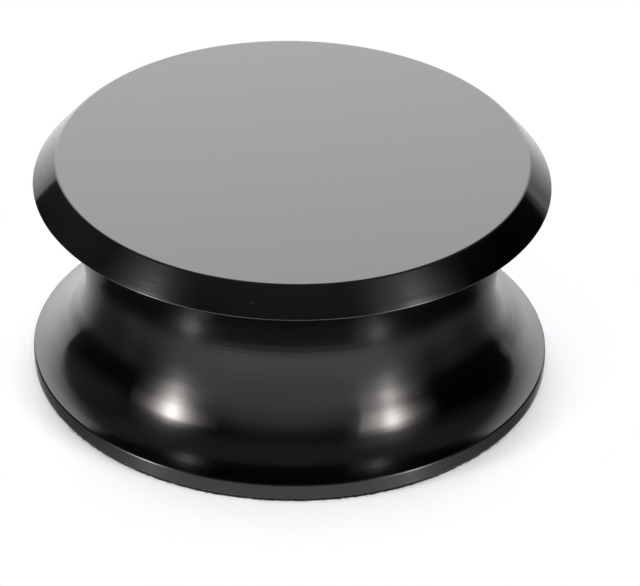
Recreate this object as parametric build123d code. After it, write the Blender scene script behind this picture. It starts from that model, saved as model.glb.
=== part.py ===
from build123d import *

import os
from math import cos, radians, tan

# Record weight: a turned aluminium spool that stands on a felt ring and drops over a turntable's spindle.
# Two pieces: the body, turned from one black anodised bar, and the felt ring glued under it.
# Origin on the axis, in the plane that the felt rests on. +Z up. Millimetres.

# Felt ring under the body
FELT_THICKNESS = 0.8
FELT_INSET = 0.75  # from the flange's rim in to the felt's edge
FELT_CLEARANCE = 1.3  # from the bore's lead-in out to the felt's hole

# Body, overall
BODY_HEIGHT = 35.65
BASE_DIAMETER = 80.0
TOP_DIAMETER = 79.3

# Body, outer profile
FLANGE_RIM = 2.58  # height of the base flange's upright rim
TOP_BEVEL_WIDTH = 3.55  # round the top face
TOP_BEVEL_HEIGHT = 3.95
TOP_LAND = 0.25  # upright land below the bevel
EDGE_BREAK = 0.15  # 45 degrees, on the thin edges that a hand meets

# Finger cove: an upright waist with a curve out to the flange below it and to the land above it
WAIST_DIAMETER = 63.6
WAIST_LENGTH = 2.1
LOWER_COVE_HEIGHT = 9.5
LOWER_COVE_SLOPE = 81.0  # degrees from upright, where the curve meets its edge
UPPER_COVE_SLOPE = 48.0

# Spindle bore, blind, drilled from below
SPINDLE_DIAMETER = 7.15
SPINDLE_CLEARANCE = 0.25  # on the diameter
BORE_DEPTH = 22.0  # at full diameter, from the underside to the drill point
BORE_LEAD_IN = 1.0
DRILL_POINT_ANGLE = 118.0

# Radii and levels that follow from the sizes above
BASE_RADIUS = BASE_DIAMETER / 2
TOP_RADIUS = TOP_DIAMETER / 2
WAIST_RADIUS = WAIST_DIAMETER / 2
FLANGE_EDGE_RADIUS = BASE_RADIUS - EDGE_BREAK
LAND_EDGE_RADIUS = TOP_RADIUS - EDGE_BREAK
BORE_RADIUS = (SPINDLE_DIAMETER + SPINDLE_CLEARANCE) / 2
LEAD_IN_RADIUS = BORE_RADIUS + BORE_LEAD_IN
UNDERSIDE = FELT_THICKNESS
FLANGE_TOP = UNDERSIDE + FLANGE_RIM
WAIST_BOTTOM = FLANGE_TOP + LOWER_COVE_HEIGHT
WAIST_TOP = WAIST_BOTTOM + WAIST_LENGTH
TOP_FACE = UNDERSIDE + BODY_HEIGHT
LAND_TOP = TOP_FACE - TOP_BEVEL_HEIGHT
LAND_BOTTOM = LAND_TOP - TOP_LAND


def cove_curve(waist_level, edge_radius, edge_level, slope):
    """Conic arc that leaves the waist upright and meets an edge at the given slope."""
    towards_waist = 1 if waist_level > edge_level else -1
    rise = (edge_radius - WAIST_RADIUS) / tan(radians(slope))
    return Bezier(
        (WAIST_RADIUS, waist_level),
        (WAIST_RADIUS, edge_level + towards_waist * rise),
        (edge_radius, edge_level),
        weights=(1, cos(radians(slope / 2)), 1),
    )


def spool():
    """The body before drilling: one section turned round the axis."""
    with BuildPart() as body:
        with BuildSketch(Plane.XZ):
            with BuildLine():
                Polyline(
                    (0, UNDERSIDE),
                    (FLANGE_EDGE_RADIUS, UNDERSIDE),
                    (BASE_RADIUS, UNDERSIDE + EDGE_BREAK),
                    (BASE_RADIUS, FLANGE_TOP - EDGE_BREAK),
                    (FLANGE_EDGE_RADIUS, FLANGE_TOP),
                )
                cove_curve(WAIST_BOTTOM, FLANGE_EDGE_RADIUS, FLANGE_TOP, LOWER_COVE_SLOPE)
                Line((WAIST_RADIUS, WAIST_BOTTOM), (WAIST_RADIUS, WAIST_TOP))
                cove_curve(WAIST_TOP, LAND_EDGE_RADIUS, LAND_BOTTOM, UPPER_COVE_SLOPE)
                Polyline(
                    (LAND_EDGE_RADIUS, LAND_BOTTOM),
                    (TOP_RADIUS, LAND_BOTTOM + EDGE_BREAK),
                    (TOP_RADIUS, LAND_TOP),
                    (TOP_RADIUS - TOP_BEVEL_WIDTH, TOP_FACE),
                    (0, TOP_FACE),
                    (0, UNDERSIDE),
                )
            make_face()
        revolve(axis=Axis.Z)
    return body.part


def spindle_bore():
    """What the drill and the countersink take out of the body."""
    with BuildPart() as bore:
        with BuildSketch(Plane.XZ):
            with BuildLine():
                Polyline(
                    (0, UNDERSIDE),
                    (LEAD_IN_RADIUS, UNDERSIDE),
                    (BORE_RADIUS, UNDERSIDE + BORE_LEAD_IN),
                    (BORE_RADIUS, UNDERSIDE + BORE_DEPTH),
                    (0, UNDERSIDE + BORE_DEPTH + BORE_RADIUS / tan(radians(DRILL_POINT_ANGLE / 2))),
                    close=True,
                )
            make_face()
        revolve(axis=Axis.Z)
    return bore.part


def felt_ring():
    """The felt under the body, open round the spindle."""
    with BuildPart() as felt:
        with BuildSketch():
            Circle(BASE_RADIUS - FELT_INSET)
            Circle(LEAD_IN_RADIUS + FELT_CLEARANCE, mode=Mode.SUBTRACT)
        extrude(amount=FELT_THICKNESS)
    return felt.part


os.makedirs("parts", exist_ok=True)
export_step(spool() - spindle_bore(), "parts/weight_body.step")
export_step(felt_ring(), "parts/felt_ring.step")
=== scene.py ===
import logging
import math
import random
from dataclasses import dataclass
from enum import Enum

import bpy
from mathutils import Matrix, Vector, noise


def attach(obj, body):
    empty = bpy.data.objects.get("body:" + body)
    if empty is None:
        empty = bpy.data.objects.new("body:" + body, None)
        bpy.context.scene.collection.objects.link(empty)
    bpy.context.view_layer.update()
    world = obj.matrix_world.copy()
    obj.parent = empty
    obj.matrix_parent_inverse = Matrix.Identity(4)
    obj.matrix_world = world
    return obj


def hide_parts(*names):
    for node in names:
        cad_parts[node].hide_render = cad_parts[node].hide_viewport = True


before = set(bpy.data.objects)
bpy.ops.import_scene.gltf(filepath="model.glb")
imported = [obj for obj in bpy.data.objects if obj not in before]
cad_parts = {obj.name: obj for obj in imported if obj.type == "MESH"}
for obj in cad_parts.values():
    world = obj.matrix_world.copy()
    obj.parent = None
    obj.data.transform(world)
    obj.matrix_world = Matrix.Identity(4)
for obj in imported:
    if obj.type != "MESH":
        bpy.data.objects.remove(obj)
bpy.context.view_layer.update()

# Looks of a turned record weight: the black anodised spool, the felt under it, and the studio round them.
# Sizes are millimetres and angles degrees until a mesh is made. The row frame is metres, +Z up, with its
# origin on the axis, in the plane that the felt rests on.

LOG = logging.getLogger("record_weight")
MM = 0.001

SMOOTH_TURN = math.radians(8)  # a corner of a section that turns by less is part of a smooth run
CORNER_SHARE = 0.45  # of a corner's shorter side, which its round may take up
ON_AXIS = 1e-6  # a section's point nearer than this lies on the axis

Colour = tuple[float, float, float]
Span = tuple[float, float]
Faces = list[tuple[int, ...]]
Socket = bpy.types.NodeSocket


class Seen(Enum):
    """Which rays meet a thing of the studio. The camera's never do."""

    NOT_BY_CAMERA = "not_by_camera"
    IN_GLOSS_ONLY = "in_gloss_only"


class BodyFinish(Enum):
    """Which of the body's finishes a face has, by the number of its material slot."""

    TURNED = 0
    FACED = 1
    PAINTED_EDGE_HIGHLIGHT = 2


class NodeSheet:
    """A node tree being drawn: adds nodes, sets their inputs and joins them."""

    def __init__(self, tree: bpy.types.NodeTree) -> None:
        """Keeps the tree and empties it."""
        self.tree = tree
        tree.nodes.clear()

    def add(
        self, kind: str, inputs: dict[str | int, object] | None = None, **settings: object
    ) -> bpy.types.Node:
        """Adds one node.

        Args:
            kind: The node's type name, without the ShaderNode in front.
            inputs: A value, or another node's output socket, for each named or numbered input.
            settings: Properties of the node itself.

        Returns:
            The new node.
        """
        node = self.tree.nodes.new(kind if kind.startswith("Node") else "ShaderNode" + kind)
        for name, value in settings.items():
            setattr(node, name, value)
        for key, value in (inputs or {}).items():
            if isinstance(value, Socket):
                self.tree.links.new(value, node.inputs[key])
            else:
                node.inputs[key].default_value = value
        return node

    def math(self, operation: str, *values: object) -> Socket:
        """Adds a Math node and returns its result."""
        return self.add("Math", dict(enumerate(values)), operation=operation).outputs[0]

    def ramp(self, value: Socket, source: Span, target: Span, shape: str = "SMOOTHSTEP") -> Socket:
        """Maps a value from one range to another and returns the result, which stops at the range's ends."""
        limits = {0: value, 1: source[0], 2: source[1], 3: target[0], 4: target[1]}
        return self.add("MapRange", limits, interpolation_type=shape).outputs[0]

    def hump(self, value: Socket, spread: float) -> Socket:
        """Makes a hump, one at nought and falling off either way as a lamp's glow does, and returns it."""
        return self.math("DIVIDE", 1.0, self.math("COSH", self.math("DIVIDE", value, spread)))


def new_material(name: str) -> tuple[bpy.types.Material, NodeSheet]:
    """Makes an empty node material.

    Args:
        name: The material's name.

    Returns:
        The material and the sheet to draw its nodes on.
    """
    material = bpy.data.materials.new(name)
    material.use_nodes = True
    return material, NodeSheet(material.node_tree)


def new_group(
    name: str, inputs: dict[str, float], outputs: dict[str, str]
) -> tuple[NodeSheet, dict[str, Socket], bpy.types.Node]:
    """Makes an empty shader node group.

    Args:
        name: The group's name.
        inputs: Each input value's name and default.
        outputs: Each output's name and socket type.

    Returns:
        The sheet to draw on, the input sockets by name, and the output node.
    """
    tree = bpy.data.node_groups.new(name, "ShaderNodeTree")
    for label, value in inputs.items():
        tree.interface.new_socket(label, in_out="INPUT", socket_type="NodeSocketFloat").default_value = value
    for label, kind in outputs.items():
        tree.interface.new_socket(label, in_out="OUTPUT", socket_type=kind)
    sheet = NodeSheet(tree)
    given = sheet.add("NodeGroupInput").outputs
    return sheet, {label: given[label] for label in inputs}, sheet.add("NodeGroupOutput")


def place_group(sheet: NodeSheet, name: str, **values: float) -> bpy.types.Node:
    """Places a node group in a material, with its own values for the inputs.

    Args:
        sheet: The material's sheet.
        name: The group's name.
        values: Input values, with _ for each space in an input's name.

    Returns:
        The group node.
    """
    node = sheet.add("Group", node_tree=bpy.data.node_groups[name])
    for label, value in values.items():
        node.inputs[label.replace("_", " ")].default_value = value
    return node


class SharedEffects:
    """Surface effects that more than one finish uses, each one node group."""

    DUST = "settled_dust"
    MOTTLE = "mottle"
    RINGS = "turning_rings"
    SMALLEST_SPECK = 0.4  # of the given size
    FAINT_POWER = 2.0  # the higher, the more of the specks are faint

    @classmethod
    def build(cls) -> None:
        """Makes every group once."""
        cls._dust()
        cls._mottle()
        cls._rings()

    @classmethod
    def _dust(cls) -> None:
        """Sparse specks, a tenth of a millimetre or two across, each of its own strength."""
        sheet, given, out = new_group(
            cls.DUST,
            {"Spacing mm": 1.6, "Speck": 0.05, "Share": 0.4, "Strength": 0.5},
            {"Mask": "NodeSocketFloat"},
        )
        place = sheet.add("TexCoord").outputs["Object"]
        scale = sheet.math("DIVIDE", 1 / MM, given["Spacing mm"])
        cells = sheet.add("TexVoronoi", {"Vector": place, "Scale": scale, "Randomness": 1.0}, feature="F1")
        chance = sheet.add("SeparateColor", {"Color": cells.outputs["Color"]})
        share = sheet.math("ADD", cls.SMALLEST_SPECK, chance.outputs["Green"])
        size = sheet.math("MULTIPLY", given["Speck"], share)
        inside = sheet.math("LESS_THAN", cells.outputs["Distance"], size)
        kept = sheet.math("LESS_THAN", chance.outputs["Red"], given["Share"])
        faint = sheet.math("POWER", chance.outputs["Blue"], cls.FAINT_POWER)
        level = sheet.math("MULTIPLY", given["Strength"], faint)
        mask = sheet.math("MULTIPLY", sheet.math("MULTIPLY", inside, kept), level)
        sheet.tree.links.new(mask, out.inputs["Mask"])

    @classmethod
    def _mottle(cls) -> None:
        """A slow cloudiness, from nought to one, as dyed surfaces have."""
        sheet, given, out = new_group(
            cls.MOTTLE,
            {"Scale": 90.0, "Detail": 3.0},
            {"Value": "NodeSocketFloat"},
        )
        place = sheet.add("TexCoord").outputs["Object"]
        cloud = sheet.add("TexNoise", {"Vector": place, "Scale": given["Scale"], "Detail": given["Detail"]})
        sheet.tree.links.new(cloud.outputs[0], out.inputs["Value"])

    @classmethod
    def _rings(cls) -> None:
        """Rings left by the turning tool: a noise over radius and level, nearly the same all round."""
        sheet, given, out = new_group(
            cls.RINGS,
            {"Pitch mm": 0.2, "Drift": 0.6},
            {"Height": "NodeSocketFloat"},
        )
        place = sheet.add("TexCoord").outputs["Object"]
        parts = sheet.add("SeparateXYZ", {0: place})
        flat = sheet.add("CombineXYZ", {0: parts.outputs[0], 1: parts.outputs[1]}).outputs[0]
        radius = sheet.add("VectorMath", {0: flat}, operation="LENGTH").outputs["Value"]
        pitch = sheet.math("MULTIPLY", given["Pitch mm"], MM)
        across = sheet.math("DIVIDE", radius, pitch)
        along = sheet.math("DIVIDE", parts.outputs[2], pitch)
        turn = sheet.add("VectorMath", {0: flat}, operation="NORMALIZE").outputs[0]
        drift = sheet.add("VectorMath", {0: turn, "Scale": given["Drift"]}, operation="SCALE").outputs[0]
        rings = sheet.add("CombineXYZ", {0: across, 1: along}).outputs[0]
        where = sheet.add("VectorMath", {0: rings, 1: drift}, operation="ADD").outputs[0]
        grain = {"Vector": where, "Scale": 1.0, "Detail": 3.0, "Roughness": 0.6}
        height = sheet.add("TexNoise", grain).outputs[0]
        sheet.tree.links.new(height, out.inputs["Height"])


@dataclass(frozen=True)
class Specks:
    """Dust or lint that lies on a finish.

    The size is a share of the spacing, and the share says how many of the places hold a speck.
    """

    colour: Colour
    spacing_mm: float
    size: float
    share: float
    strength: float

    def mask(self, sheet: NodeSheet) -> Socket:
        """Places the specks in a material.

        Args:
            sheet: The material's sheet.

        Returns:
            Where they lie, and how strongly.
        """
        node = place_group(
            sheet,
            SharedEffects.DUST,
            Spacing_mm=self.spacing_mm,
            Speck=self.size,
            Share=self.share,
            Strength=self.strength,
        )
        return node.outputs["Mask"]


@dataclass(frozen=True)
class BlackAnodised:
    """Black dyed, sealed anodising on turned aluminium: a dark gloss, drawn out across the tool marks."""

    name: str
    dye: Colour = (0.0005, 0.0005, 0.0006)
    dye_deepest: float = 0.8
    cloud_scale: float = 70.0
    cloud_detail: float = 2.0
    dust: Specks = Specks((0.16, 0.155, 0.15), spacing_mm=1.5, size=0.045, share=0.35, strength=0.6)
    dust_roughness: float = 0.4
    index: float = 1.5
    roughness: float = 0.131
    roughness_spread: float = 0.02
    anisotropy: float = 0.98
    across_rings: float = 0.25
    ring_pitch_mm: float = 0.7
    ring_height: float = 0.4
    ring_depth_mm: float = 0.05

    def material(self) -> bpy.types.Material:
        """Draws the finish.

        Returns:
            The material.
        """
        made, sheet = new_material(self.name)
        rings = place_group(sheet, SharedEffects.RINGS, Pitch_mm=self.ring_pitch_mm).outputs["Height"]
        cloud = place_group(
            sheet, SharedEffects.MOTTLE, Scale=self.cloud_scale, Detail=self.cloud_detail
        ).outputs["Value"]
        specks = self.dust.mask(sheet)
        deep = tuple(self.dye_deepest * c for c in self.dye)
        dyed = sheet.add("MixRGB", {0: cloud, 1: (*deep, 1), 2: (*self.dye, 1)}).outputs[0]
        colour = sheet.add("MixRGB", {0: specks, 1: dyed, 2: (*self.dust.colour, 1)}).outputs[0]
        low, high = self.roughness - self.roughness_spread, self.roughness + self.roughness_spread
        turned = sheet.add("MapRange", {0: rings, 3: low, 4: high}).outputs[0]
        rough = sheet.math("ADD", turned, sheet.math("MULTIPLY", specks, self.dust_roughness))
        depth = self.ring_depth_mm * MM
        relief = sheet.add("Bump", {"Strength": self.ring_height, "Distance": depth, "Height": rings})
        surface = sheet.add(
            "BsdfPrincipled",
            {
                "Base Color": colour,
                "Roughness": rough,
                "Normal": relief.outputs[0],
                "Tangent": sheet.add("Tangent", direction_type="RADIAL", axis="Z").outputs[0],
            },
        )
        surface.inputs["IOR"].default_value = self.index
        surface.inputs["Anisotropic"].default_value = self.anisotropy
        surface.inputs["Anisotropic Rotation"].default_value = self.across_rings
        sheet.add("OutputMaterial", {"Surface": surface.outputs[0]})
        return made


@dataclass(frozen=True)
class PressedFelt:
    """Black wool felt: matt, cloudy and specked with lint."""

    wool: Colour = (0.0035, 0.0035, 0.0038)
    paler: Colour = (0.009, 0.0088, 0.0088)
    cloud_scale: float = 420.0
    cloud_detail: float = 5.0
    lint: Specks = Specks((0.25, 0.24, 0.23), spacing_mm=1.1, size=0.05, share=0.25, strength=0.5)
    fibre_scale: float = 5200.0
    fibre_detail: float = 4.0
    nap_height: float = 0.7
    nap_depth_mm: float = 0.08
    roughness: float = 0.95
    sheen: float = 0.04
    sheen_roughness: float = 0.6

    def material(self) -> bpy.types.Material:
        """Draws the finish.

        Returns:
            The material.
        """
        made, sheet = new_material("black_felt")
        cloud = place_group(
            sheet, SharedEffects.MOTTLE, Scale=self.cloud_scale, Detail=self.cloud_detail
        ).outputs["Value"]
        specks = self.lint.mask(sheet)
        dyed = sheet.add("MixRGB", {0: cloud, 1: (*self.wool, 1), 2: (*self.paler, 1)}).outputs[0]
        colour = sheet.add("MixRGB", {0: specks, 1: dyed, 2: (*self.lint.colour, 1)}).outputs[0]
        place = sheet.add("TexCoord").outputs["Object"]
        fibres = {"Vector": place, "Scale": self.fibre_scale, "Detail": self.fibre_detail}
        nap = sheet.add("TexNoise", fibres).outputs[0]
        depth = self.nap_depth_mm * MM
        relief = sheet.add("Bump", {"Strength": self.nap_height, "Distance": depth, "Height": nap})
        surface = sheet.add("BsdfPrincipled", {"Base Color": colour, "Normal": relief.outputs[0]})
        surface.inputs["Roughness"].default_value = self.roughness
        surface.inputs["Sheen Weight"].default_value = self.sheen
        surface.inputs["Sheen Roughness"].default_value = self.sheen_roughness
        sheet.add("OutputMaterial", {"Surface": surface.outputs[0]})
        return made


@dataclass(frozen=True)
class WhitePaper:
    """Seamless white paper: matt and shadowed round the part, and burnt out to white further off.

    The burn's radii are millimetres from a place a little behind the axis.
    """

    paper: Colour = (0.848, 0.860, 0.893)
    lift: float = 0.335
    burn_from: float = 41.5
    burn_to: float = 59.0
    burn_centre: float = 7.0

    def material(self) -> bpy.types.Material:
        """Draws the finish.

        Returns:
            The material.
        """
        made, sheet = new_material("white_paper")
        path = sheet.add("LightPath")
        looked = sheet.math("MAXIMUM", path.outputs["Is Camera Ray"], path.outputs["Is Glossy Ray"])
        looked = sheet.math("MAXIMUM", looked, path.outputs["Is Transmission Ray"])
        place = sheet.add("TexCoord").outputs["Object"]
        centre = (0.0, self.burn_centre * MM, 0.0)
        radius = sheet.add("VectorMath", {0: place, 1: centre}, operation="DISTANCE").outputs["Value"]
        burnt = sheet.ramp(radius, (self.burn_from * MM, self.burn_to * MM), (0.0, 1.0))
        matt = sheet.add("BsdfDiffuse", {"Color": (*self.paper, 1)})
        lifted = sheet.math("MULTIPLY", looked, self.lift)
        glow = sheet.add("Emission", {"Color": (*self.paper, 1), "Strength": lifted})
        near = sheet.add("AddShader", {0: matt.outputs[0], 1: glow.outputs[0]})
        far = sheet.add("Emission", {"Color": (1, 1, 1, 1), "Strength": looked})
        both = sheet.add("MixShader", {0: burnt, 1: near.outputs[0], 2: far.outputs[0]})
        sheet.add("OutputMaterial", {"Surface": both.outputs[0]})
        return made


@dataclass(frozen=True)
class LampCloth:
    """The lit cloth of a softbox, which lets what is behind it shine through.

    The sides fade between two shares of its half width, or fall off from a hot middle with the given spread.
    The foot rises to full at a share of the height, and the head fades between two shares of it.
    The slant makes the right side dimmer than the left, and the foot's slant the right end of the foot.
    """

    radiance: float
    sides: Span = (0.0, 1.0)
    hot: float | None = None
    head: Span = (0.8, 1.0)
    foot_level: float = 1.0
    full_from: float = 0.5
    slant: float = 0.0
    tint: Colour = (1.0, 0.95, 0.92)
    foot_slant: float = 0.0

    def material(self, name: str) -> bpy.types.Material:
        """Draws the finish.

        Args:
            name: The lamp's name.

        Returns:
            The material.
        """
        made, sheet = new_material(name)
        place = sheet.add("SeparateXYZ", {0: sheet.add("TexCoord").outputs["Generated"]})
        offset = sheet.math("MULTIPLY_ADD", place.outputs[0], 2.0, -1.0)
        if self.hot:
            across = sheet.hump(offset, self.hot)
        else:
            across = sheet.ramp(sheet.math("ABSOLUTE", offset), self.sides, (1.0, 0.0))
        across = sheet.math("MULTIPLY", across, sheet.math("MULTIPLY_ADD", offset, -self.slant, 1.0))
        above = sheet.ramp(place.outputs[1], self.head, (self.radiance, 0.0))
        dimmer = sheet.math("MULTIPLY", sheet.math("MAXIMUM", offset, 0.0), self.foot_slant)
        foot = sheet.math("SUBTRACT", self.foot_level, dimmer)
        below = sheet.ramp(place.outputs[1], (0.0, self.full_from), (foot, 1.0), "LINEAR")
        level = sheet.math("MULTIPLY", across, sheet.math("MULTIPLY", above, below))
        light = sheet.add("Emission", {"Color": (*self.tint, 1), "Strength": level})
        both = sheet.add("AddShader", {0: light.outputs[0], 1: sheet.add("BsdfTransparent").outputs[0]})
        sheet.add("OutputMaterial", {"Surface": both.outputs[0]})
        return made


@dataclass(frozen=True)
class TentCloth:
    """Dark cloth of the tent: black at the sides, pale low down on the camera's side, dim overhead."""

    camera_side: float = 0.60
    camera_side_from: Span = (0.6, 1.0)
    camera_side_up_to: Span = (0.0, 0.75)
    ceiling: float = 0.22
    ceiling_from: Span = (0.4, 0.85)

    def material(self) -> bpy.types.Material:
        """Draws the finish.

        Returns:
            The material.
        """
        made, sheet = new_material("tent_cloth")
        way = sheet.add("TexCoord").outputs["Object"]
        unit = sheet.add("VectorMath", {0: way}, operation="NORMALIZE").outputs[0]
        parts = sheet.add("SeparateXYZ", {0: unit})
        ahead = sheet.math("MULTIPLY", parts.outputs[1], -1.0)
        front = sheet.ramp(ahead, self.camera_side_from, (0.0, self.camera_side))
        low = sheet.ramp(parts.outputs[2], self.camera_side_up_to, (1.0, 0.0))
        high = sheet.ramp(parts.outputs[2], self.ceiling_from, (0.0, self.ceiling))
        level = sheet.math("ADD", sheet.math("MULTIPLY", front, low), high)
        dark = sheet.add("Emission", {"Color": (1, 1, 1, 1), "Strength": level})
        sheet.add("OutputMaterial", {"Surface": dark.outputs[0]})
        return made


@dataclass(frozen=True)
class PaintedReflectionCard:
    """What the part's gloss sees on the floor: a card over the paper, which mirrors the lamps and paints the
    reflections.

    Where it hides the paper, at the sides, behind and round the part's foot, it is a painted shade in the
    part's reflections, and at the foot in front it glows, a painted glow. It lets the paper through most in
    front and at the part's foot, and mirrors more on the right. Azimuths are degrees from the camera's side,
    right positive where the sides differ, and radii are millimetres.
    """

    index: float = 1.9
    right_index: float = 4.8
    right_rise: Span = (0.0, 40.0)
    right_from: Span = (46.0, 57.0)
    right_until: Span = (128.0, 150.0)
    left_sheen: float = 0.30
    left_sheen_at: Span = (50.0, 3.5)
    left_fall: Span = (-40.0, 0.0)
    roughness: float = 0.15
    near: Span = (42.0, 54.0)
    near_sides: Span = (22.0, 62.0)
    near_dim: float = 0.27
    near_flanks: Span = (64.0, 84.0)
    near_flank_dim: float = 0.36
    near_back: Span = (96.0, 116.0)
    near_back_rise: float = 0.16
    far: Span = (45.0, 110.0)
    far_front: Span = (0.90, 0.36)
    far_sides: Span = (32.0, 63.0)
    far_side_dim: float = 0.01
    far_back: Span = (118.0, 150.0)
    far_back_rise: float = 0.37
    painted_foot_glow: float = 0.22
    painted_foot_glow_sides: Span = (14.0, 40.0)
    dull: Span = (62.0, 76.0)
    dull_to: Span = (104.0, 124.0)
    dulled: float = 0.5

    def material(self) -> bpy.types.Material:
        """Draws the finish.

        Returns:
            The material.
        """
        made, sheet = new_material("painted_reflection_card")
        turn, radius = self._polar(sheet)
        aside = sheet.math("ABSOLUTE", turn)
        closeness = sheet.ramp(radius, self.near, (1.0, 0.0))
        clear = self._clearness(sheet, aside, radius, closeness)
        grey = sheet.add("CombineXYZ", {0: clear, 1: clear, 2: clear}).outputs[0]
        pane = sheet.add("BsdfTransparent", {"Color": grey})
        polish = sheet.add("BsdfAnisotropic", {"Color": self._mirrored(sheet, turn, aside, radius)})
        polish.inputs["Roughness"].default_value = self.roughness
        both = sheet.add("AddShader", {0: pane.outputs[0], 1: polish.outputs[0]})
        # A painted glow: the card shines at the part's foot in front, though no lamp is there.
        front = sheet.ramp(aside, self.painted_foot_glow_sides, (self.painted_foot_glow, 0.0))
        glow = sheet.add("Emission", {"Strength": sheet.math("MULTIPLY", closeness, front)})
        lit = sheet.add("AddShader", {0: both.outputs[0], 1: glow.outputs[0]})
        sheet.add("OutputMaterial", {"Surface": lit.outputs[0]})
        return made

    def _clearness(self, sheet: NodeSheet, aside: Socket, radius: Socket, closeness: Socket) -> Socket:
        """How much of the paper shows through the pane; where less shows, the part's reflections get a painted
        shade.

        Args:
            sheet: The material's sheet.
            aside: The azimuth to either side.
            radius: The distance from the axis.
            closeness: One at the part's foot, and nought on the open floor.

        Returns:
            The share that shows.
        """
        foot = sheet.ramp(aside, self.near_sides, (1.0, self.near_dim))
        foot = sheet.math("MULTIPLY", foot, sheet.ramp(aside, self.near_flanks, (1.0, self.near_flank_dim)))
        foot = sheet.math("ADD", foot, sheet.ramp(aside, self.near_back, (0.0, self.near_back_rise)))
        ahead = sheet.ramp(radius, self.far, self.far_front)
        front = sheet.math("MULTIPLY", ahead, sheet.ramp(aside, self.far_sides, (1.0, self.far_side_dim)))
        back = sheet.ramp(aside, self.far_back, (0.0, self.far_back_rise))
        open_floor = sheet.math("ADD", front, back)
        return sheet.add("Mix", {"Factor": closeness, "A": open_floor, "B": foot}).outputs[0]

    def _mirrored(self, sheet: NodeSheet, turn: Socket, aside: Socket, radius: Socket) -> Socket:
        """How much the pane mirrors.

        Args:
            sheet: The material's sheet.
            turn: The azimuth, right positive.
            aside: The azimuth to either side.
            radius: The distance from the axis.

        Returns:
            The share that is mirrored.
        """
        left, right = sheet.add("Fresnel"), sheet.add("Fresnel")
        left.inputs["IOR"].default_value = self.index
        right.inputs["IOR"].default_value = self.right_index
        right_share = sheet.math(
            "MULTIPLY",
            sheet.ramp(turn, self.right_rise, (0.0, 1.0)),
            sheet.ramp(radius, self.right_from, (0.0, 1.0)),
        )
        right_share = sheet.math("MULTIPLY", right_share, sheet.ramp(turn, self.right_until, (1.0, 0.0)))
        # A painted sheen: on the left the card mirrors more in a ring round the given radius.
        sheen_at, sheen_spread = self.left_sheen_at
        left_share = sheet.math(
            "MULTIPLY",
            sheet.ramp(turn, self.left_fall, (self.left_sheen, 0.0)),
            sheet.hump(sheet.math("SUBTRACT", radius, sheen_at), sheen_spread),
        )
        side = sheet.math("ADD", right_share, left_share)
        mirrored = sheet.add("Mix", {"Factor": side, "A": left.outputs[0], "B": right.outputs[0]}).outputs[0]
        kept = sheet.math(
            "ADD",
            sheet.ramp(aside, self.dull, (1.0, self.dulled)),
            sheet.ramp(aside, self.dull_to, (0.0, 1.0 - self.dulled)),
        )
        return sheet.math("MULTIPLY", mirrored, kept)

    def _polar(self, sheet: NodeSheet) -> tuple[Socket, Socket]:
        """Where a place on the floor is: its azimuth in degrees and its distance in millimetres.

        Args:
            sheet: The material's sheet.

        Returns:
            The azimuth from the camera's side, right positive, and the distance from the axis.
        """
        place = sheet.add("TexCoord").outputs["Object"]
        parts = sheet.add("SeparateXYZ", {0: place})
        turn = sheet.math("ARCTAN2", parts.outputs[0], sheet.math("MULTIPLY", parts.outputs[1], -1.0))
        run = sheet.add("VectorMath", {0: place}, operation="LENGTH").outputs["Value"]
        return sheet.math("DEGREES", turn), sheet.math("DIVIDE", run, MM)


def make_object(
    name: str,
    vertices: list[Vector],
    faces: Faces,
    material: bpy.types.Material,
    normals: list[Vector] | None = None,
) -> bpy.types.Object:
    """Makes a mesh object of points in metres.

    Args:
        name: The object's name.
        vertices: The mesh's points.
        faces: Point numbers of each face.
        material: The finish of every face.
        normals: The way the surface faces at each point, where it is smooth.

    Returns:
        The object, in the scene.
    """
    mesh = bpy.data.meshes.new(name)
    mesh.from_pydata(vertices, [], faces)
    mesh.materials.append(material)
    if normals:
        mesh.shade_smooth()
        mesh.normals_split_custom_set_from_vertices(normals)
    mesh.validate()
    made = bpy.data.objects.new(name, mesh)
    bpy.context.scene.collection.objects.link(made)
    return made


def limit_rays(made: bpy.types.Object, seen: Seen) -> None:
    """Hides an object of the studio from the camera, and from all but glossy rays where a gloss alone sees it.

    Args:
        made: The object.
        seen: Which rays meet it.
    """
    made.visible_camera = False
    others = seen != Seen.IN_GLOSS_ONLY
    made.visible_diffuse = others
    made.visible_transmission = others
    made.visible_volume_scatter = others
    made.visible_shadow = others


def conic(start: Vector, corner: Vector, end: Vector, weight: float, steps: int) -> list[Vector]:
    """Points of a conic arc.

    Args:
        start: Where the arc begins.
        corner: Where the tangents at its two ends meet.
        end: Where the arc ends.
        weight: The corner's pull; the cosine of half the turn gives a circle between equal tangents.
        steps: How many pieces the arc has.

    Returns:
        The points, both ends with them.
    """
    points = []
    for i in range(steps + 1):
        t = i / steps
        a, b, c = (1 - t) ** 2, 2 * weight * t * (1 - t), t * t
        points.append((start * a + corner * b + end * c) / (a + b + c))
    return points


def soften(section: list[Vector], radius: float, steps: int) -> list[Vector]:
    """Rounds the sharp corners of a section, and leaves its smooth runs as they are.

    Args:
        section: The section's points in order.
        radius: The radius that each corner gets, where its sides are long enough.
        steps: How many pieces each round has.

    Returns:
        The softened section.
    """
    points = [section[0]]
    for before, here, after in zip(section, section[1:], section[2:]):
        into, out_of = (here - before).normalized(), (after - here).normalized()
        turn = into.angle(out_of)
        if turn < SMOOTH_TURN:
            points.append(here)
            continue
        room = CORNER_SHARE * min((here - before).length, (after - here).length)
        cut = min(radius * math.tan(turn / 2), room)
        points += conic(here - into * cut, here, here + out_of * cut, math.cos(turn / 2), steps)
    points.append(section[-1])
    return points


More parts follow.
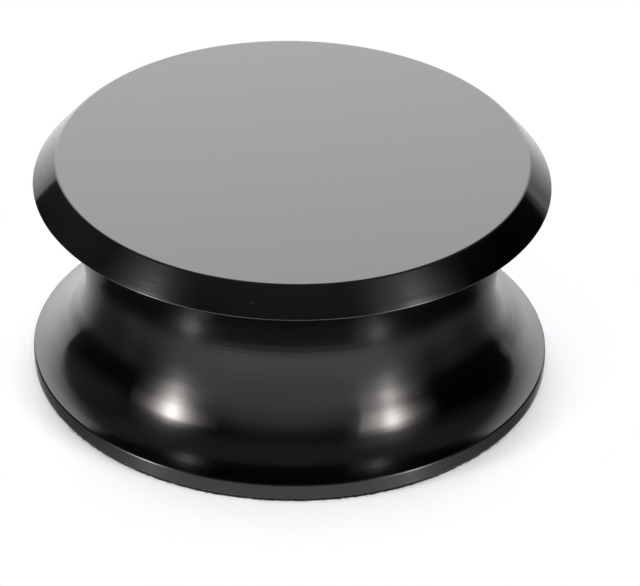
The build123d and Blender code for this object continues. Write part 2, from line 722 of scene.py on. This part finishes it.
def ease(run: list[Vector], step: float, reach: float) -> list[Vector]:
    """Spaces a run of points evenly and lets its curvature change gradually; the ends and their slopes stay.

    Args:
        run: The points in order.
        step: The distance between the new points.
        reach: How far along the run a jump in its curvature is spread.

    Returns:
        The eased run.
    """
    lengths = [(b - a).length for a, b in zip(run, run[1:])]
    count = round(sum(lengths) / step)
    stride = sum(lengths) / count
    even, piece, passed = [run[0]], 0, 0.0
    for i in range(1, count):
        while passed + lengths[piece] < i * stride:
            passed += lengths[piece]
            piece += 1
        even.append(run[piece].lerp(run[piece + 1], (i * stride - passed) / lengths[piece]))
    even.append(run[-1])
    turns = [math.atan2(b.y - a.y, b.x - a.x) for a, b in zip(even, even[1:])]
    # Each pass averages neighbours, and the spread grows with the root of the number of passes.
    for _ in range(round(2 * (reach / stride) ** 2)):
        padded = [2 * turns[0] - turns[1], *turns, 2 * turns[-1] - turns[-2]]
        turns = [(a + 2 * b + c) / 4 for a, b, c in zip(padded, padded[1:], padded[2:])]
    eased = [run[0]]
    for turn in turns:
        eased.append(eased[-1] + Vector((math.cos(turn), math.sin(turn))) * stride)
    miss = run[-1] - eased[-1]
    return [place + miss * (i / count) for i, place in enumerate(eased)]


def facings(section: list[Vector]) -> list[Vector]:
    """The way a section's surface faces at each of its points, with the material on the path's left.

    Args:
        section: Points (radius, level) in order.

    Returns:
        One unit vector (radius, level) for each point.
    """
    last = len(section) - 1
    turned = []
    for i in range(len(section)):
        before = section[i] - section[max(i - 1, 0)]
        after = section[min(i + 1, last)] - section[i]
        ahead = before + after
        turned.append(Vector((ahead.y, -ahead.x)).normalized())
    return turned


def lathe(section: list[Vector], segments: int) -> tuple[list[Vector], Faces, list[Vector]]:
    """Turns a section round the axis.

    Args:
        section: Points (radius, level) in millimetres, in order; an end on the axis becomes one point.
        segments: Steps round the axis.

    Returns:
        Points in metres, faces, and normals.
    """
    points: list[Vector] = []
    normals: list[Vector] = []
    rings: list[list[int]] = []
    for place, facing in zip(section, facings(section)):
        if place.x < ON_AXIS:
            rings.append([len(points)] * segments)
            points.append(Vector((0, 0, place.y)) * MM)
            normals.append(Vector((0, 0, math.copysign(1, facing.y))))
            continue
        rings.append(list(range(len(points), len(points) + segments)))
        for k in range(segments):
            turn = 2 * math.pi * k / segments
            way = Vector((math.sin(turn), -math.cos(turn), 0))
            points.append((way * place.x + Vector((0, 0, place.y))) * MM)
            normals.append(way * facing.x + Vector((0, 0, facing.y)))
    faces = []
    for low, high in zip(rings, rings[1:]):
        for k in range(segments):
            n = (k + 1) % segments
            corners = dict.fromkeys((low[k], low[n], high[n], high[k]))
            faces.append(tuple(corners))
    return points, faces, normals


@dataclass
class WeightBody:
    """The spool, turned from one section: base flange, finger cove, bevelled top and blind spindle bore.

    Sizes are millimetres and degrees, and mostly the CAD model's. The bevel, the land and the underside
    differ from it by 0.15 mm at most, the edges are rounded, and the cove's curvature changes gradually.
    """

    underside: float = 0.86
    base_radius: float = 40.0
    flange_rim: float = 2.52
    top_face: float = 36.45
    top_radius: float = 39.65
    bevel_width: float = 3.40
    bevel_head_radius: float = 0.6
    bevel_height: float = 3.95
    bevel_crown: float = 4.5
    top_land: float = 0.17
    land_break: float = 0.08
    edge_break: float = 0.15
    waist_radius: float = 31.8
    waist_length: float = 2.1
    lower_cove_height: float = 9.5
    lower_cove_slope: float = 81.0
    upper_cove_slope: float = 48.0
    bore_radius: float = 3.7
    bore_depth: float = 22.0
    bore_lead_in: float = 1.0
    drill_point_angle: float = 118.0
    soft_edge: float = 0.2
    segments: int = 360
    cove_steps: int = 200
    cove_step: float = 0.3
    cove_ease: float = 1.2
    bevel_steps: int = 10
    bevel_head_steps: int = 6
    edge_steps: int = 4
    # Bands of the land and the foot that get the pale finish, a painted edge highlight.
    edge_highlight_land: float = 0.16
    edge_highlight_foot: float = 0.18
    edge_slack: float = 0.02
    face_slack: float = 0.001

    def cove(self, waist_level: float, edge: Vector, slope: float) -> list[Vector]:
        """Half of the finger cove.

        Args:
            waist_level: Where the curve leaves the upright waist.
            edge: Where it ends.
            slope: Its slope there, in degrees from upright.

        Returns:
            The points from the waist to the edge.
        """
        side = 1 if waist_level > edge.y else -1
        rise = (edge.x - self.waist_radius) / math.tan(math.radians(slope))
        start = Vector((self.waist_radius, waist_level))
        corner = Vector((self.waist_radius, edge.y + side * rise))
        return conic(start, corner, edge, math.cos(math.radians(slope / 2)), self.cove_steps)

    def bevel(self, foot: Vector) -> list[Vector]:
        """The bevel round the top face, a little steeper at its foot, and rounded into the face.

        Args:
            foot: Where it leaves the land.

        Returns:
            The points from the foot to the top face.
        """
        head = Vector((self.top_radius - self.bevel_width, self.top_face))
        along = head - foot
        bulge = along.length / 2 * math.tan(math.radians(self.bevel_crown / 2))
        outward = Vector((along.y, -along.x)).normalized()
        corner = (foot + head) / 2 + outward * bulge
        slope = conic(foot, corner, head, math.cos(math.radians(self.bevel_crown / 2)), self.bevel_steps)
        inward = Vector((-1, 0))
        turn = (head - slope[-2]).angle(inward)
        cut = self.bevel_head_radius * math.tan(turn / 2)
        back = (slope[-2] - head).normalized() * cut
        rounded = conic(head + back, head, head + inward * cut, math.cos(turn / 2), self.bevel_head_steps)
        return slope[:-1] + rounded

    def section(self) -> list[Vector]:
        """The turned section.

        Returns:
            Its points, from the drill's point round the outside to the middle of the top face.
        """
        flange_top = self.underside + self.flange_rim
        land_top = self.top_face - self.bevel_height
        land_bottom = land_top - self.top_land
        waist_bottom = flange_top + self.lower_cove_height
        waist_top = waist_bottom + self.waist_length
        lead_in_radius = self.bore_radius + self.bore_lead_in
        bore_end = self.underside + self.bore_depth
        point_height = self.bore_radius / math.tan(math.radians(self.drill_point_angle / 2))
        flange_edge = Vector((self.base_radius - self.edge_break, flange_top))
        land_edge = Vector((self.top_radius - self.land_break, land_bottom))
        below = [
            (0, bore_end + point_height),
            (self.bore_radius, bore_end),
            (self.bore_radius, self.underside + self.bore_lead_in),
            (lead_in_radius, self.underside),
            (self.base_radius - self.edge_break, self.underside),
            (self.base_radius, self.underside + self.edge_break),
            (self.base_radius, flange_top - self.edge_break),
        ]
        above = [
            Vector((self.top_radius, land_bottom + self.land_break)),
            *self.bevel(Vector((self.top_radius, land_top))),
            Vector((0, self.top_face)),
        ]
        lower = self.cove(waist_bottom, flange_edge, self.lower_cove_slope)[::-1]
        upper = self.cove(waist_top, land_edge, self.upper_cove_slope)
        path = [Vector(p) for p in below] + ease(lower + upper, self.cove_step, self.cove_ease) + above
        return soften(path, self.soft_edge, self.edge_steps)

    def finish_at(self, radius: float, level: float) -> BodyFinish:
        """The finish at a place: faced on the top, and pale on the thin outer edges, a painted edge highlight.

        Args:
            radius: The place's distance from the axis.
            level: Its height.

        Returns:
            The finish.
        """
        if level > self.top_face - self.face_slack:
            return BodyFinish.FACED
        land_top = self.top_face - self.bevel_height
        at_land = land_top - self.top_land - self.edge_slack < level < land_top + self.edge_slack
        at_foot = level < self.underside + self.edge_break
        on_land = at_land and radius > self.top_radius - self.edge_highlight_land
        on_foot = at_foot and radius > self.base_radius - self.edge_highlight_foot
        return BodyFinish.PAINTED_EDGE_HIGHLIGHT if on_land or on_foot else BodyFinish.TURNED

    def build(self, turned: BlackAnodised, faced: BlackAnodised, paler: BlackAnodised) -> bpy.types.Object:
        """Turns and dresses the body.

        Args:
            turned: The finish of the sides.
            faced: The finish of the top face.
            paler: The pale finish of the thin outer edges, a painted edge highlight.

        Returns:
            The body, riding on the part.
        """
        points, faces, normals = lathe(self.section(), self.segments)
        made = make_object("turned_body", points, faces, turned.material(), normals)
        made.data.materials.append(faced.material())
        made.data.materials.append(paler.material())
        for face in made.data.polygons:
            centre = face.center / MM
            face.material_index = self.finish_at(centre.xy.length, centre.z).value
        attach(made, "root")
        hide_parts("weight_body")
        return made


@dataclass
class FeltPad:
    """The felt ring under the body, with the loose wool that stands out of its cut edge."""

    thickness: float = 0.86
    outer_radius: float = 39.25
    hole_radius: float = 6.0
    edge_wander: float = 0.34
    wander_reach: float = 1.0
    wander_scales: Span = (1100.0, 3000.0)
    edge_round: float = 0.06
    edge_steps: int = 3
    segments: int = 1080
    hairs: int = 8000
    hair_sides: int = 3
    hair_steps: int = 3
    hair_width: float = 0.055
    hair_taper: float = 0.25
    hair_length: Span = (0.25, 0.8)
    hair_cut: Span = (0.5, 1.0)
    hair_seat: float = 0.08
    hair_root: Span = (0.04, 0.70)
    hair_levels: Span = (0.02, 0.74)
    hair_lean: float = 0.7
    hair_fall: Span = (-0.9, 0.35)
    hair_curl: float = 0.6
    seed: int = 7

    def section(self) -> list[Vector]:
        """The ring's section.

        Returns:
            Its points, closed, from the middle of the underside outwards.
        """
        inner, outer, top = self.hole_radius, self.outer_radius, self.thickness
        middle = (inner + outer) / 2
        corners = [
            (middle, 0),
            (outer, 0),
            (outer, top / 2),
            (outer, top),
            (middle, top),
            (inner, top),
            (inner, top / 2),
            (inner, 0),
            (middle, 0),
        ]
        return soften([Vector(c) for c in corners], self.edge_round, self.edge_steps)

    def wander(self, points: list[Vector]) -> list[Vector]:
        """Makes the cut edges uneven, as a knife leaves felt.

        Args:
            points: The ring's points in metres.

        Returns:
            The moved points.
        """
        moved = []
        for p in points:
            way = Vector((p.x, p.y, 0))
            from_edge = min(abs(way.length / MM - edge) for edge in (self.outer_radius, self.hole_radius))
            share = max(0.0, 1 - from_edge / self.wander_reach)
            waves = [noise.noise(p * scale) for scale in self.wander_scales]
            wave = sum(waves) / len(waves)
            moved.append(p + way.normalized() * (share * wave * self.edge_wander * MM))
        return moved

    def hair(self, draw: random.Random) -> list[Vector]:
        """The line of one hair that stands out of the cut edge.

        Args:
            draw: The source of its chances.

        Returns:
            Points in millimetres, from root to tip.
        """
        turn = draw.uniform(0, 2 * math.pi)
        out = Vector((math.sin(turn), -math.cos(turn), 0))
        side = Vector((math.cos(turn), math.sin(turn), 0))
        level = draw.uniform(*self.hair_root)
        length = draw.uniform(*self.hair_length) * draw.uniform(*self.hair_cut)
        lean, fall = draw.gauss(0, self.hair_lean), draw.uniform(*self.hair_fall)
        curl = draw.gauss(0, self.hair_curl)
        lowest, highest = self.hair_levels
        line = []
        for i in range(self.hair_steps + 1):
            t = i / self.hair_steps
            reach = length * t
            z = min(max(level + reach * fall * t, lowest), highest)
            outwards = out * (self.outer_radius - self.hair_seat + reach)
            line.append(outwards + side * (reach * (lean + curl * t)) + Vector((0, 0, z)))
        return line

    def fuzz(self) -> tuple[list[Vector], Faces]:
        """All the hairs, each a thin spike.

        Returns:
            Points in metres, and faces.
        """
        draw = random.Random(self.seed)
        sides, steps = self.hair_sides, self.hair_steps
        points: list[Vector] = []
        faces: Faces = []
        for _ in range(self.hairs):
            line = self.hair(draw)
            first = len(points)
            for i, centre in enumerate(line[:-1]):
                ahead = (line[i + 1] - centre).normalized()
                aside = ahead.orthogonal().normalized()
                third = ahead.cross(aside)
                width = self.hair_width * (1 - self.hair_taper * i) / 2
                for k in range(sides):
                    spin = 2 * math.pi * k / sides
                    points.append((centre + (aside * math.cos(spin) + third * math.sin(spin)) * width) * MM)
            points.append(line[-1] * MM)
            tip = len(points) - 1
            for i in range(steps - 1):
                for k in range(sides):
                    a, b = first + sides * i + k, first + sides * i + (k + 1) % sides
                    faces.append((a, b, b + sides, a + sides))
            last = first + sides * (steps - 1)
            faces += [(last + k, last + (k + 1) % sides, tip) for k in range(sides)]
            faces.append(tuple(reversed(range(first, first + sides))))
        return points, faces

    def build(self, finish: PressedFelt) -> bpy.types.Object:
        """Cuts and dresses the felt.

        Args:
            finish: The felt's finish.

        Returns:
            The felt, riding on the part.
        """
        points, faces, _ = lathe(self.section()[:-1], self.segments)
        rings = len(points) // self.segments
        last = (rings - 1) * self.segments
        for k in range(self.segments):
            n = (k + 1) % self.segments
            faces.append((last + k, last + n, n, k))
        points = self.wander(points)
        hair_points, hair_faces = self.fuzz()
        shift = len(points)
        faces += [tuple(i + shift for i in f) for f in hair_faces]
        made = make_object("felt_pad", points + hair_points, faces, finish.material())
        made.data.shade_smooth()
        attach(made, "root")
        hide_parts("felt_ring")
        return made


@dataclass
class Camera:
    """The photograph's camera: a long lens that looks down on the top face, and rolled a little."""

    image_width: int = 640
    focal_pixels: float = 4312.0
    distance: float = 677.3
    elevation: float = 33.468
    aim_down: float = -0.846
    aim_right: float = -0.391
    roll: float = 0.904
    sensor: float = 36.0
    clip_start: float = 10.0

    def build(self) -> bpy.types.Object:
        """Makes the camera and gives it to the scene.

        Returns:
            The camera.
        """
        data = bpy.data.cameras.new("photo_camera")
        data.sensor_fit = "HORIZONTAL"
        data.sensor_width = self.sensor
        data.lens = self.focal_pixels * self.sensor / self.image_width
        data.clip_start = self.clip_start * MM
        made = bpy.data.objects.new("photo_camera", data)
        rise = math.radians(self.elevation)
        place = Vector((0, -math.cos(rise), math.sin(rise))) * (self.distance * MM)
        # Rows are what is right of, below and ahead of a level camera that looks along +Y.
        level = Matrix(((1, 0, 0), (0, 0, -1), (0, 1, 0)))
        pitch = Matrix.Rotation(math.radians(self.elevation + self.aim_down), 3, "X")
        yaw = Matrix.Rotation(math.radians(self.aim_right), 3, "Y")
        roll = Matrix.Rotation(math.radians(self.roll), 3, "Z")
        # A Blender camera has its own +Y up and looks along its own -Z.
        look = (roll @ yaw @ pitch @ level).transposed() @ Matrix.Diagonal((1, -1, -1))
        made.matrix_world = Matrix.Translation(place) @ look.to_4x4()
        bpy.context.scene.collection.objects.link(made)
        bpy.context.scene.camera = made
        return made


@dataclass
class SoftPanel:
    """One softbox, scrim or lit wall: an upright panel that faces the axis. Azimuth 0 is the camera's side."""

    name: str
    azimuth: float
    distance: float
    width: float
    foot: float
    head: float
    cloth: LampCloth
    tilt: float = 0.0

    def build(self) -> bpy.types.Object:
        """Makes the panel, tilted sideways about its foot.

        Returns:
            The panel.
        """
        half, height = self.width / 2, self.head - self.foot
        outline = ((-half, 0), (half, 0), (half, height), (-half, height))
        corners = [Vector((x, y, 0)) * MM for x, y in outline]
        made = make_object(self.name, corners, [(0, 1, 2, 3)], self.cloth.material(self.name))
        turn = math.radians(self.azimuth)
        away = Vector((math.sin(turn), -math.cos(turn), 0))
        right = Vector((-math.cos(turn), -math.sin(turn), 0))
        up = Vector((0, 0, 1))
        facing = Matrix((right, up, right.cross(up))).transposed()
        lean = Matrix.Rotation(math.radians(self.tilt), 3, "Z")
        place = Matrix.Translation((away * self.distance + up * self.foot) * MM)
        made.matrix_world = place @ (facing @ lean).to_4x4()
        limit_rays(made, Seen.NOT_BY_CAMERA)
        return made


@dataclass
class DarkTent:
    """The dim room round the set: a dome that every ray but the camera's meets."""

    radius: float = 1600.0
    rows: int = 12
    columns: int = 48
    dip: float = 1.0

    def build(self, finish: TentCloth) -> bpy.types.Object:
        """Makes the dome.

        Args:
            finish: The dome's finish.

        Returns:
            The dome.
        """
        points = []
        for row in range(self.rows + 1):
            rise = math.radians(90 * row / self.rows - self.dip)
            flat = math.cos(rise)
            for column in range(self.columns):
                turn = 2 * math.pi * column / self.columns
                way = Vector((math.cos(turn) * flat, math.sin(turn) * flat, math.sin(rise)))
                points.append(way * (self.radius * MM))
        faces = []
        for row in range(self.rows):
            for column in range(self.columns):
                a, b = row * self.columns + column, row * self.columns + (column + 1) % self.columns
                faces.append((a, b, b + self.columns, a + self.columns))
        made = make_object("dark_tent", points, faces, finish.material())
        limit_rays(made, Seen.NOT_BY_CAMERA)
        return made


@dataclass
class FloorCard:
    """A ring-shaped card just over the floor, all round the part, which only a gloss sees: it carries the
    painted shade and glow of the part's reflections.
    """

    inner: float = 40.6
    outer: float = 1500.0
    level: float = 0.25
    steps: int = 60

    def build(self, finish: PaintedReflectionCard) -> bpy.types.Object:
        """Cuts the card, with its seam at the back.

        Args:
            finish: The card's finish.

        Returns:
            The card.
        """
        points = []
        for radius in (self.inner, self.outer):
            for i in range(self.steps + 1):
                turn = math.radians(180 * (2 * i / self.steps - 1))
                points.append(Vector((math.sin(turn) * radius, -math.cos(turn) * radius, self.level)) * MM)
        row = self.steps + 1
        faces = [(i + row, i + 1 + row, i + 1, i) for i in range(self.steps)]
        made = make_object("painted_reflection_card", points, faces, finish.material())
        limit_rays(made, Seen.IN_GLOSS_ONLY)
        return made


@dataclass
class Studio:
    """The set: white paper, a lit wall behind the part, a softbox to each side in front, and a dim tent."""

    paper_reach: float = 3000.0
    paper_level: float = -0.02
    backdrop: float = 0.95
    away: float = 600.0
    gap: float = 20.0

    def lamps(self) -> list[SoftPanel]:
        """The lit wall, the softboxes and the scrims behind them.

        Returns:
            The panels.
        """
        near, back = self.away + self.gap, self.away + 2 * self.gap
        wall = LampCloth(
            4.55,
            sides=(0.05, 1.35),
            head=(0.248, 1.0),
            foot_level=0.62,
            full_from=0.187,
            slant=0.25,
            tint=(1.0, 0.99, 0.99),
            foot_slant=0.45,
        )
        wall_return = LampCloth(0.30, sides=(0.5, 1.0), head=(0.4, 1.0))
        left = LampCloth(31.0, hot=0.170, head=(0.70, 0.87), foot_level=0.56, full_from=0.44)
        right = LampCloth(22.7, hot=0.164, head=(0.575, 0.845), foot_level=0.52, full_from=0.32)
        wing = LampCloth(1.9, sides=(0.7, 1.0), head=(0.6, 1.0))
        left_scrim = LampCloth(0.46, head=(0.5, 1.0), foot_level=0.0, full_from=0.45)
        fill = LampCloth(0.17, sides=(0.6, 1.0), head=(0.4, 0.75), foot_level=0.0, full_from=0.33)
        right_scrim = LampCloth(0.70, head=(0.42, 1.0), foot_level=0.0, full_from=0.40)
        return [
            SoftPanel("lit_wall", 178.9, self.away, width=1266, foot=0, head=1090, cloth=wall),
            SoftPanel("wall_return", 132.0, near, width=100, foot=0, head=150, cloth=wall_return),
            SoftPanel("left_softbox", -57.9, self.away, width=560, foot=0, head=400, cloth=left, tilt=-6.0),
            SoftPanel("right_softbox", 50.2, self.away, width=560, foot=0, head=490, cloth=right, tilt=7.0),
            SoftPanel("right_wing", 40.0, near, width=110, foot=0, head=470, cloth=wing),
            SoftPanel("left_scrim", -69.0, back, width=680, foot=0, head=900, cloth=left_scrim),
            SoftPanel("left_fill", -116.0, back, width=760, foot=20, head=750, cloth=fill),
            SoftPanel("right_scrim", 55.5, back, width=720, foot=0, head=1150, cloth=right_scrim),
        ]

    def build(self) -> None:
        """Makes the paper, the lamps, the tent, the floor card and the backdrop."""
        half, level = self.paper_reach, self.paper_level
        outline = ((-half, -half), (half, -half), (half, half), (-half, half))
        corners = [Vector((x, y, level)) * MM for x, y in outline]
        paper = make_object("white_floor", corners, [(0, 1, 2, 3)], WhitePaper().material())
        for lamp in self.lamps():
            lamp.build()
            LOG.info("lamp %s", lamp.name)
        LOG.info("room %s", DarkTent().build(TentCloth()).name)
        LOG.info("card %s", FloorCard().build(PaintedReflectionCard()).name)
        self.world()

    def world(self) -> None:
        """The white backdrop beyond the tent, which only the camera sees."""
        made = bpy.data.worlds.new("white_backdrop")
        made.use_nodes = True
        sheet = NodeSheet(made.node_tree)
        sky = sheet.add("Background", {"Color": (1, 1, 1, 1), "Strength": self.backdrop})
        sheet.add("OutputWorld", {"Surface": sky.outputs[0]})
        bpy.context.scene.world = made


def main() -> None:
    """Builds the part, its studio and the camera."""
    logging.basicConfig(level=logging.INFO, format="%(name)s: %(message)s")
    bpy.context.scene.view_settings.view_transform = "Standard"
    SharedEffects.build()
    turned = BlackAnodised("black_anodised_turned")
    faced = BlackAnodised("black_anodised_faced", roughness=0.17, anisotropy=0.0, ring_height=0.01)
    # The pale edge finish paints a highlight along the land and the foot's edge.
    paler = BlackAnodised("black_anodised_edge_highlight", dye=(0.055, 0.055, 0.057), anisotropy=0.0, ring_height=0.01)
    for piece in (WeightBody().build(turned, faced, paler), FeltPad().build(PressedFelt())):
        LOG.info("%s: %d faces", piece.name, len(piece.data.polygons))
    Studio().build()
    LOG.info("camera %s", Camera().build().name)


if __name__ == "__main__":
    main()
